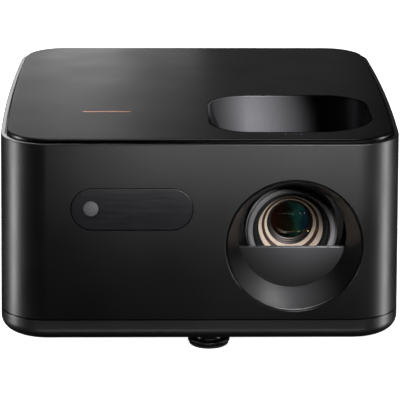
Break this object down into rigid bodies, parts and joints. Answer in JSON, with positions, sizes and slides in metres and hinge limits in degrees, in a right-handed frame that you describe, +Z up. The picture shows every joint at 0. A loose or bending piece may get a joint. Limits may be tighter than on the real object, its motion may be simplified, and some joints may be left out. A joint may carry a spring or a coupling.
{
  "type": "home projector",
  "caption": "Compact home projector: bowed-side black case, finger well over a deep round lens well with a half-moon ledge, sensor window, focus ring and screw foot.",
  "frame": {"origin": "middle of the footprint, on the surface the feet stand on", "axes": "+Z up; -Y is the lens side, where the picture leaves; +X is to the right when the lens side is faced"},
  "size_m": [0.214, 0.218, 0.117],
  "materials": {
    "shell_abs": "fine spark-textured moulded ABS, satin black",
    "plate_satin": "smooth satin-painted polycarbonate",
    "inner_plastic": "matt black moulded plastic",
    "window_acrylic": "dark infra-red-passing acrylic",
    "sensor_grey": "frosted grey cover",
    "foot_rubber": "black moulded rubber",
    "optical_glass": "polished, multi-coated glass",
    "anodised_black": "turned and black anodised aluminium",
    "bare_aluminium": "extruded aluminium",
    "pipe_copper": "drawn copper",
    "brass": "turned brass",
    "zinc_steel": "zinc-plated steel",
    "circuit_board": "green solder-masked glass-fibre board",
    "engine_casting": "die-cast magnesium alloy"
  },
  "bodies": {
    "chassis": {"shell_band": "shell_abs", "top_plate": "plate_satin", "well_liner": "plate_satin", "base_tray": "shell_abs", "lens_cone": "shell_abs", "sensor_window": "window_acrylic", "sensor_cover": "sensor_grey", "sensor_module": "inner_plastic", "lens_ledge": "shell_abs", "lens_barrel": "anodised_black", "focus_ring_retainer": "zinc_steel", "rear_lens": "optical_glass", "light_engine": "engine_casting", "red_led": "pipe_copper", "green_led": "pipe_copper", "blue_led": "pipe_copper", "dmd_board": "circuit_board", "dmd_heat_sink": "bare_aluminium", "heat_sink": "bare_aluminium", "front_heat_pipe": "pipe_copper", "rear_heat_pipe": "pipe_copper", "intake_fan_frame": "inner_plastic", "exhaust_fan_frame": "inner_plastic", "main_board": "circuit_board", "power_board": "circuit_board", "port_board": "circuit_board", "port_panel": "inner_plastic", "hdmi_socket": "zinc_steel", "usb_socket": "zinc_steel", "power_jack": "inner_plastic", "audio_jack": "inner_plastic", "left_speaker_box": "inner_plastic", "left_speaker_driver": "inner_plastic", "right_speaker_box": "inner_plastic", "right_speaker_driver": "inner_plastic", "foot_bush": "brass", "tripod_insert": "brass", "left_rear_foot": "foot_rubber", "right_rear_foot": "foot_rubber", "left_front_screw": "zinc_steel", "left_rear_screw": "zinc_steel", "right_front_screw": "zinc_steel", "right_rear_screw": "zinc_steel"},
    "focus_ring": {"focus_ring": "inner_plastic"},
    "focus_cell": {"focus_cell": "anodised_black", "front_lens": "optical_glass", "lens_spacer": "anodised_black", "aperture_stop": "anodised_black", "middle_lens": "optical_glass"},
    "intake_fan_rotor": {"intake_fan_rotor": "inner_plastic"},
    "exhaust_fan_rotor": {"exhaust_fan_rotor": "inner_plastic"},
    "power_button": {"power_button": "inner_plastic"},
    "foot_pad": {"foot_pad": "foot_rubber"},
    "foot_screw": {"foot_screw": "inner_plastic"}
  },
  "joints": [
    {"name": "focus_turn", "type": "hinge", "parent": "chassis", "child": "focus_ring", "pos_m": [0.0485, -0.05, 0.0605], "axis": [0, -1, 0], "range_deg": [-60, 60]},
    {"name": "focus_travel", "type": "slide", "parent": "chassis", "child": "focus_cell", "axis": [0, -1, 0], "range_m": [-0.0011, 0.0011]},
    {"name": "intake_fan_turn", "type": "hinge", "parent": "chassis", "child": "intake_fan_rotor", "pos_m": [-0.0895, 0.018, 0.06], "axis": [1, 0, 0], "continuous": true},
    {"name": "exhaust_fan_turn", "type": "hinge", "parent": "chassis", "child": "exhaust_fan_rotor", "pos_m": [0.0895, 0.018, 0.06], "axis": [1, 0, 0], "continuous": true},
    {"name": "power_press", "type": "slide", "parent": "chassis", "child": "power_button", "axis": [0, -1, 0], "range_m": [0, 0.0012], "stiffness_N_per_m": 600, "springref_m": -0.0004},
    {"name": "foot_drop", "type": "slide", "parent": "chassis", "child": "foot_pad", "axis": [0, 0, -1], "range_m": [0, 0.012]},
    {"name": "foot_turn", "type": "hinge", "parent": "foot_pad", "child": "foot_screw", "pos_m": [0.005, -0.088, 0.005], "axis": [0, 0, -1], "range_deg": [0, 1441]}
  ],
  "couplings": [
    {"joint": "focus_travel", "follows": "focus_turn", "m_per_rad": 0.00095493},
    {"joint": "foot_turn", "follows": "foot_drop", "rad_per_m": 2094.4}
  ]
}
